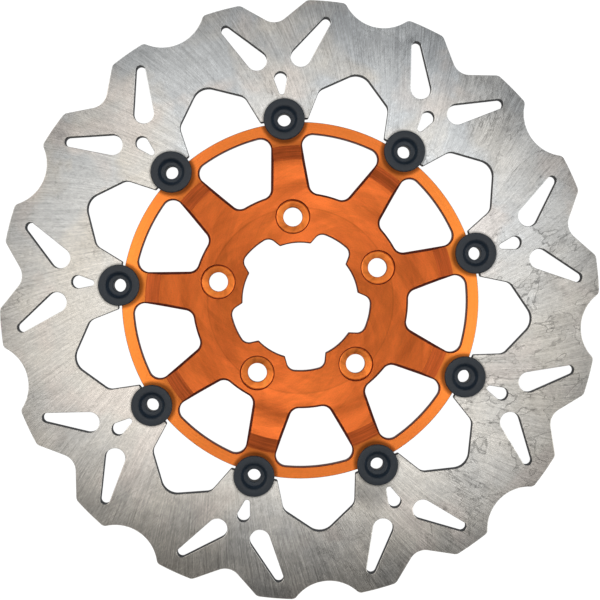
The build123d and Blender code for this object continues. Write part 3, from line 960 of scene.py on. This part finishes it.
# ---------------------------------------------------------------------------
# floor, light and camera
# ---------------------------------------------------------------------------
def make_floor():
    mesh = bpy.data.meshes.new("floor")
    s, z = 30.0, -0.0006
    mesh.from_pydata([(-s, -s, z), (s, -s, z), (s, s, z), (-s, s, z)], [], [(0, 1, 2, 3)])
    ob = bpy.data.objects.new("floor", mesh)
    bpy.context.scene.collection.objects.link(ob)
    m = bpy.data.materials.new("floor_pale")
    m.use_nodes = True
    t = m.node_tree
    t.nodes.clear()
    k = Nodes(t)
    out = k.new("ShaderNodeOutputMaterial")
    glow = k.new("ShaderNodeEmission")
    glow.inputs["Color"].default_value = (1, 1, 1, 1)
    glow.inputs["Strength"].default_value = 1.0
    matt = k.new("ShaderNodeBsdfDiffuse")
    matt.inputs["Color"].default_value = (0.12, 0.12, 0.12, 1)
    both = k.new("ShaderNodeAddShader")
    t.links.new(glow.outputs[0], both.inputs[0])
    t.links.new(matt.outputs[0], both.inputs[1])
    clear = k.new("ShaderNodeBsdfTransparent")
    mix = k.new("ShaderNodeMixShader")
    geo = k.new("ShaderNodeNewGeometry")
    t.links.new(geo.outputs["Backfacing"], mix.inputs[0])
    t.links.new(both.outputs[0], mix.inputs[1])
    t.links.new(clear.outputs[0], mix.inputs[2])
    t.links.new(mix.outputs[0], out.inputs[0])
    mesh.materials.append(m)
    ob.visible_diffuse = False
    ob.visible_glossy = False
    ob.visible_transmission = False
    ob.visible_shadow = False


def make_world():
    """A round softbox overhead, a panel on either side and a dark place where the photographer stands.
    u and v are the tangents of the tilt from straight up."""
    w = bpy.data.worlds.new("studio")
    bpy.context.scene.world = w
    w.use_nodes = True
    t = w.node_tree
    t.nodes.clear()
    k = Nodes(t)
    out = k.new("ShaderNodeOutputWorld")
    bg = k.new("ShaderNodeBackground")
    white = k.new("ShaderNodeBackground")
    white.inputs["Color"].default_value = (1, 1, 1, 1)
    co = k.new("ShaderNodeTexCoord")
    x, y, z = k.split(co.outputs["Generated"])
    up = k.math("MAXIMUM", z, 0.02)
    u, v = k.math("DIVIDE", x, up), k.math("DIVIDE", y, up)

    def blob(cu, cv, ru, rv, soft):
        a, b = k.math("DIVIDE", k.sub(u, cu), ru), k.math("DIVIDE", k.sub(v, cv), rv)
        d = k.math("SQRT", k.add(k.mul(a, a), k.mul(b, b)))
        return k.range(d, 1 - soft, 1 + soft, 1.0, 0.0, "SMOOTHSTEP")

    def edge(a, centre, half, soft):
        return k.range(k.math("ABSOLUTE", k.sub(a, centre)), half - soft, half + soft, 1.0, 0.0, "SMOOTHSTEP")
    disc = blob(0.014, -0.011, 0.265, 0.201, 0.09)
    left = k.mul(edge(u, -1.60, 1.18, 0.14), edge(v, 0.56, 0.56, 0.16))
    right = k.mul(edge(u, 1.30, 0.49, 0.10), edge(v, -0.16, 0.67, 0.10))
    dark = blob(0.0, -0.62, 0.55, 0.42, 0.25)
    tilt = k.math("SQRT", k.add(k.mul(u, u), k.mul(v, v)))
    room = k.range(tilt, 0.35, 0.85, 0.44, 0.22, "SMOOTHSTEP")
    low = k.mul(k.range(z, 0.06, 0.22, 0.0, 1.0, "SMOOTHSTEP"), k.range(z, 0.45, 0.72, 1.0, 0.0, "SMOOTHSTEP"))
    room = k.add(room, k.mul(low, 0.55))
    under = k.range(k.mul(z, -1), 0.0, 0.5, 0.10, 0.25, "SMOOTHSTEP")
    sky = k.mul(room, k.sub(1.0, k.mul(dark, 0.91)))
    sky = k.add(sky, k.add(k.mul(disc, 1.65), k.add(k.mul(left, 1.32), k.mul(right, 1.82))))
    isup = k.range(z, -0.01, 0.01, 0.0, 1.0)
    strength = k.add(k.mul(sky, isup), k.mul(under, k.sub(1.0, isup)))
    tint = k.mix(k.range(k.add(u, k.mul(v, 0.4)), -0.25, 0.25, 0.0, 1.0), (1.02, 0.995, 0.955), (1.0, 1.0, 0.99))
    k.put(bg.inputs["Color"], tint)
    k.put(bg.inputs["Strength"], strength)
    lp = k.new("ShaderNodeLightPath")
    mix = k.new("ShaderNodeMixShader")
    t.links.new(lp.outputs["Is Camera Ray"], mix.inputs[0])
    t.links.new(bg.outputs[0], mix.inputs[1])
    t.links.new(white.outputs[0], mix.inputs[2])
    t.links.new(mix.outputs[0], out.inputs[0])


def make_camera():
    data = bpy.data.cameras.new("camera")
    data.lens = 67.4448
    data.sensor_width = 36.0
    data.clip_start, data.clip_end = 0.01, 100
    cam = bpy.data.objects.new("camera", data)
    cam.location = (-0.00726, 0.00890, 0.55624)
    cam.rotation_mode = "XYZ"
    cam.rotation_euler = [math.radians(a) for a in (-0.82515, -0.81421, -5.14334)]
    bpy.context.scene.collection.objects.link(cam)
    bpy.context.scene.camera = cam


make_floor()
make_world()
make_camera()
scene = bpy.context.scene
scene.view_settings.view_transform = "Standard"
scene.view_settings.look = "None"
scene.view_settings.exposure = 0.0
scene.view_settings.gamma = 1.0

bpy.context.view_layer.update()
